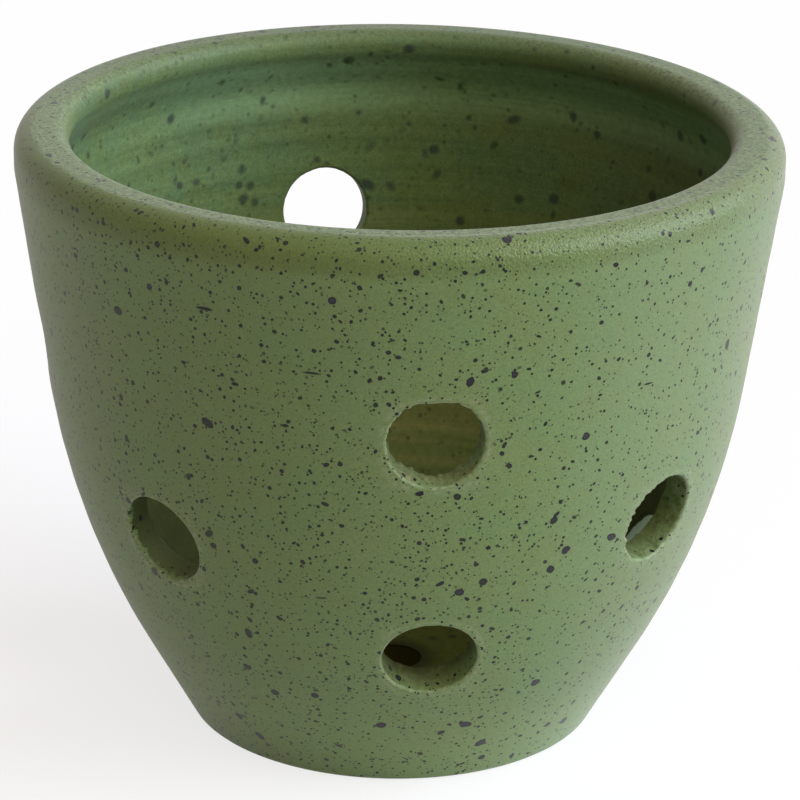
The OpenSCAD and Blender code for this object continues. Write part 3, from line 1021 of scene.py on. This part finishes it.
def glaze_material(name, knows, rough=0.52, bump=0.02, gloss=0.25, bloom=0.2):
    """The one glaze as a coat's material. Knows gives what this coat adds to the group's inputs.
    Flecks and thick glaze are a little glossier than the rest."""
    material, shader, place = start_material(name)
    glaze = use_group(glaze_group, place, knows(place))
    roughness = ramp(glaze["Cover"], 0.0, 1.0, rough, rough - 0.06, smooth=False)
    roughness = times_plus(glaze["Thick"], -0.22, roughness)
    feed_shader(shader, glaze["Color"], roughness, bump, glaze["Height"], gloss, bloom)
    return material


# %% What each coat knows of its place
def on_the_outside(place):
    return {"Hole edge": attribute_of("hole_edge")}


def over_the_lip(place):
    """The inside begins where the distance from the axis falls from 68.5 to 65 mm."""
    return {"Within": ramp(split_place(place)[-1], 68.5, 65.0)}


def on_the_inside(place):
    return {"Within": 1.0, "Hole edge": attribute_of("hole_edge")}


def in_the_holes(place):
    """Depth runs from 0 at the outside to 1 at the inside. The thin glaze starts after a ragged
    line near the outer end."""
    depth = attribute_of("tube_depth")
    line = maths("ADD", depth, patches(place, 1.6, 3, 0.5, 0.3, 0.7, -0.2, 0.2))
    return {"Within": ramp(depth, 0.3, 1.0), "Hole edge": attribute_of("hole_edge"),
            "In hole": ramp(line, 0.0, 0.2), "Low side": attribute_of("low_side")}


# %% The four finishes of glaze
for name, finish in {
        OUTER: glaze_material("speckled matte glaze", on_the_outside),
        RIM: glaze_material("dry rim glaze", over_the_lip, bump=0.03),
        INNER: glaze_material("inner glaze", on_the_inside, gloss=0.14, bloom=0.05),
        LINING: glaze_material("thin glaze in the holes", in_the_holes, 0.58, 0.12, 0.12, 0.05)}.items():
    coats[name].data.materials.append(finish)
    print(coats[name].name, "gets", finish.name)

# %% [markdown]
# ## The bare clay
#
# Fired clay shows only on the ring that the pot stands on, under the foot, and in the drain
# hole. It is dull and sandy, with darker grains. In the drain hole it is painted darker and
# greener, as painted shade.

# %% The clay's material
clay_finish, shader, place = start_material("fired clay")
grain = noise(place, 0.5, 4.0, 0.7)
colour = layers(
    mix(patches(place, 6, 4, 0.5, 0.35, 0.65), "clay_dark", "clay_pale"),
    ("clay_grain", ramp(grain, 0.58, 0.72, 0, 0.6)),
    # Painted shade: darker and greener in the drain hole.
    ("drain", ramp(split_place(place)[-1], 6.9, 6.1)))
feed_shader(shader, colour, 0.85, 0.06, grain, gloss=0.05)
clay = frame["nodes"]["clay_body"]
clay.data.materials.clear()
clay.data.materials.append(clay_finish)
print(clay.name, "gets", clay_finish.name)

# %% [markdown]
# ## The studio
#
# A wide, soft and slightly cool key light comes from the right, a weaker warm one from above
# the camera, and a warm glow from the ceiling fills the shadows. The floor and the world show
# white to the camera, and the floor keeps the soft shadow round the pot. Inside the foot ring,
# where no light gets in, it has hardly any glow.

# %% Camera at the photograph's viewing angle
view_turn = math.radians(-6.6)
pitch = math.radians(20.925)
roll = math.radians(0.9085)
camera_data = bpy.data.cameras.new("camera")
camera_data.lens = 173.7
camera_data.sensor_width = 36
camera = new_object("camera", camera_data)
turn_round = Matrix.Rotation(view_turn, 4, "Z")
stands_at = turn_round @ Matrix.Translation(Vector((0.776, -720.3, 339.3)) * MM)
camera.matrix_world = stands_at @ Matrix.Rotation(TURN / 4 - pitch, 4, "X") @ Matrix.Rotation(roll, 4, "Z")
bpy.context.scene.camera = camera
bpy.context.scene.view_settings.view_transform = "Standard"


# %% Key light and top light
def soft_sun(name, comes_from, energy, colour, angle=56):
    """A sun whose wide angle gives the soft edge of a large studio lamp."""
    data = bpy.data.lights.new(name, "SUN")
    data.energy = energy
    data.color = colour
    data.angle = math.radians(angle)
    lamp = new_object(name, data)
    lamp.rotation_mode = "QUATERNION"
    lamp.rotation_quaternion = (turn_round @ Vector(comes_from)).to_track_quat("Z", "Y")


soft_sun("key", (0.87, -0.07, 0.49), 3.95, (0.775, 0.82, 1.0))
soft_sun("top", (0.35, -0.55, 0.75), 1.15, (1.0, 0.86, 0.54))


# %% World, white where it is seen and brightest overhead where it lights
def seen_share(*rays):
    """1 for rays that show the surface to the camera, and 0 for those that only carry light."""
    seen = add_node("LightPath").outputs
    shown = seen["Is Camera Ray"]
    for ray in rays:
        shown = maths("MAXIMUM", shown, seen[ray])
    return shown


world = bpy.data.worlds.new("studio")
bpy.context.scene.world = world
world.use_nodes = True
Opened.tree = world.node_tree
way = add_node("TexCoord").outputs["Generated"]
overhead = maths("MAXIMUM", add_node("SeparateXYZ", {0: way}).outputs["Z"], 0.0)
ceiling = mix(overhead, (0.0, 0.0, 0.0, 1.0), (0.39, 0.215, 0.18, 1.0))
shown = seen_share("Is Glossy Ray", "Is Transmission Ray")
light = mix(shown, ceiling, (1.0, 1.0, 1.0, 1.0))
fill(Opened.tree.nodes["Background"].inputs, {"Color": light})

# %% Floor, pale to the light and white to the camera
far = 4.0
corners = [(-far, -far, 0), (far, -far, 0), (far, far, 0), (-far, far, 0)]
floor_mesh = bpy.data.meshes.new("floor")
floor_mesh.from_pydata(corners, [], [(0, 1, 2, 3)])
floor = new_object("floor", floor_mesh)

floor_finish, _, place = start_material("floor")
pale = add_node("BsdfDiffuse", {"Color": (0.75, 0.75, 0.75, 1)}).outputs[0]
soft = add_node("BsdfDiffuse", {"Color": (0.24, 0.26, 0.27, 1)}).outputs[0]
bright = ramp(vector_maths("LENGTH", place), 34, 36, 0.02, 0.76)
glow = add_node("Emission", {"Color": (1, 1, 1, 1), "Strength": bright}).outputs[0]
white = add_node("AddShader", {0: soft, 1: glow}).outputs[0]
mixed = add_node("MixShader", {0: seen_share("Is Glossy Ray"), 1: pale, 2: white})
fill(Opened.tree.nodes["Material Output"].inputs, {"Surface": mixed.outputs[0]})
floor_mesh.materials.append(floor_finish)
